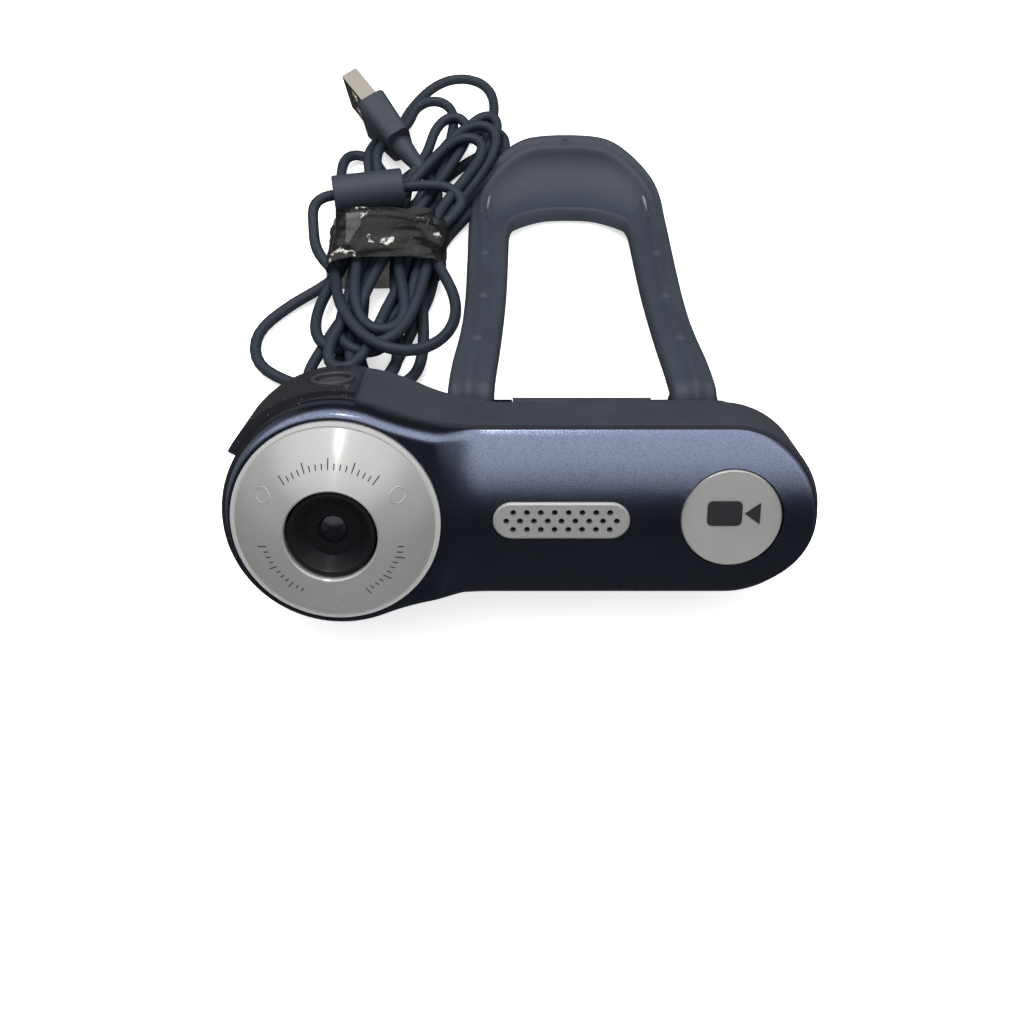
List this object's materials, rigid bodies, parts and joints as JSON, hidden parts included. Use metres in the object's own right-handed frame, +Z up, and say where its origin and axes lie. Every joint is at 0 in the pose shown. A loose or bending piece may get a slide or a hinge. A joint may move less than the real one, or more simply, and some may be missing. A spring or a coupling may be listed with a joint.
{
  "type": "webcam on loop stand",
  "caption": "Wide webcam with round lens head, mic grille and bendable loop stand, resting on its loop, with its tied lead and plug.",
  "frame": {"origin": "on the table under the middle of the camera and stand's footprint, the cord left out", "axes": "+X to the camera's left-to-right seen from the front, from lens to badge; -Y is the side the lens faces; +Z up"},
  "size_m": [0.1188, 0.1856, 0.047],
  "materials": {
    "blue_grey_gloss": "metallic flake under a clear gloss",
    "charcoal_matte": "fine moulded matte",
    "black_gloss": "gloss",
    "charcoal_satin": "satin",
    "black_plastic": "satin black",
    "circuit_board": "solder mask",
    "filter_glass": "coated",
    "sensor_package": "ceramic",
    "amber_flex": "polyimide film",
    "chip_black": "epoxy",
    "bright_steel": "plated",
    "dark_steel": "blackened",
    "white_plastic": "nylon",
    "slate_cord": "soft vinyl jacket",
    "silver_plastic": "silver paint",
    "black_cloth": "fine mesh",
    "soft_rubber": "matt",
    "satin_silver": "satin",
    "badge_ink": "printed",
    "slate_rubber": "soft satin",
    "nickel_shell": "nickel plated",
    "gold_contact": "gold flash",
    "clear_tape": "clear brownish film",
    "brushed_ring": "radially brushed",
    "clear_plastic": "clear moulding",
    "lens_glass": "coated"
  },
  "bodies": {
    "camera": {"front_shell": "blue_grey_gloss", "rear_shell": "charcoal_matte", "button_band": "black_gloss", "button_collar": "charcoal_satin", "tact_switch": "black_plastic", "button_board": "circuit_board", "lens_holder": "black_plastic", "ir_filter": "filter_glass", "image_sensor": "sensor_package", "sensor_board": "circuit_board", "main_board": "circuit_board", "flex_cable": "amber_flex", "circuit_chips": "chip_black", "clock_crystal": "bright_steel", "cable_header": "white_plastic", "inner_lead": "slate_cord", "mic_grille": "silver_plastic", "mic_cloth": "black_cloth", "mic_boot": "soft_rubber", "mic_capsule": "bright_steel", "badge_disc": "satin_silver", "badge_symbol": "badge_ink", "housing_screws": "bright_steel", "hinge_bracket": "charcoal_matte", "foot_pad": "soft_rubber", "cover_plate": "charcoal_matte", "friction_washers": "dark_steel", "strain_relief": "slate_rubber", "cord_lead": "slate_cord", "usb_overmould": "slate_rubber", "usb_shell": "nickel_shell", "usb_tongue": "white_plastic", "usb_contacts": "gold_contact", "ferrite_bead": "slate_rubber", "hank_tape": "clear_tape", "cord_hank": "slate_cord"},
    "focus_ring": {"focus_ring": "brushed_ring", "clear_rim": "clear_plastic"},
    "lens": {"lens_barrel": "black_plastic", "front_lens": "lens_glass", "lens_spacer": "black_plastic", "rear_lens": "lens_glass", "lens_retainer": "black_plastic"},
    "button": {"snapshot_button": "charcoal_satin"},
    "stand": {"stand_loop": "slate_rubber", "stand_wire": "bright_steel", "leg_eyes": "slate_rubber", "hinge_pin": "dark_steel", "pin_caps": "charcoal_matte"}
  },
  "joints": [
    {"name": "focus_turn", "type": "hinge", "parent": "camera", "child": "focus_ring", "pos_m": [-0.034, -0.0645, 0.0291], "axis": [0, -0.8434, 0.5373], "range_deg": [-90, 90]},
    {"name": "lens_travel", "type": "slide", "parent": "focus_ring", "child": "lens", "axis": [0, -0.8434, 0.5373], "range_m": [-0.0006, 0.0006]},
    {"name": "snapshot_press", "type": "slide", "parent": "camera", "child": "button", "axis": [0.0523, -0.5366, -0.8422], "range_m": [0, 0.0007], "stiffness_N_per_m": 900, "springref_m": -0.0006},
    {"name": "stand_tilt", "type": "hinge", "parent": "camera", "child": "stand", "pos_m": [0.0122, -0.03256, 0.02061], "axis": [1, 0, 0], "range_deg": [-75, 18]}
  ],
  "couplings": [
    {"joint": "lens_travel", "follows": "focus_turn", "m_per_rad": 0.00038159}
  ]
}
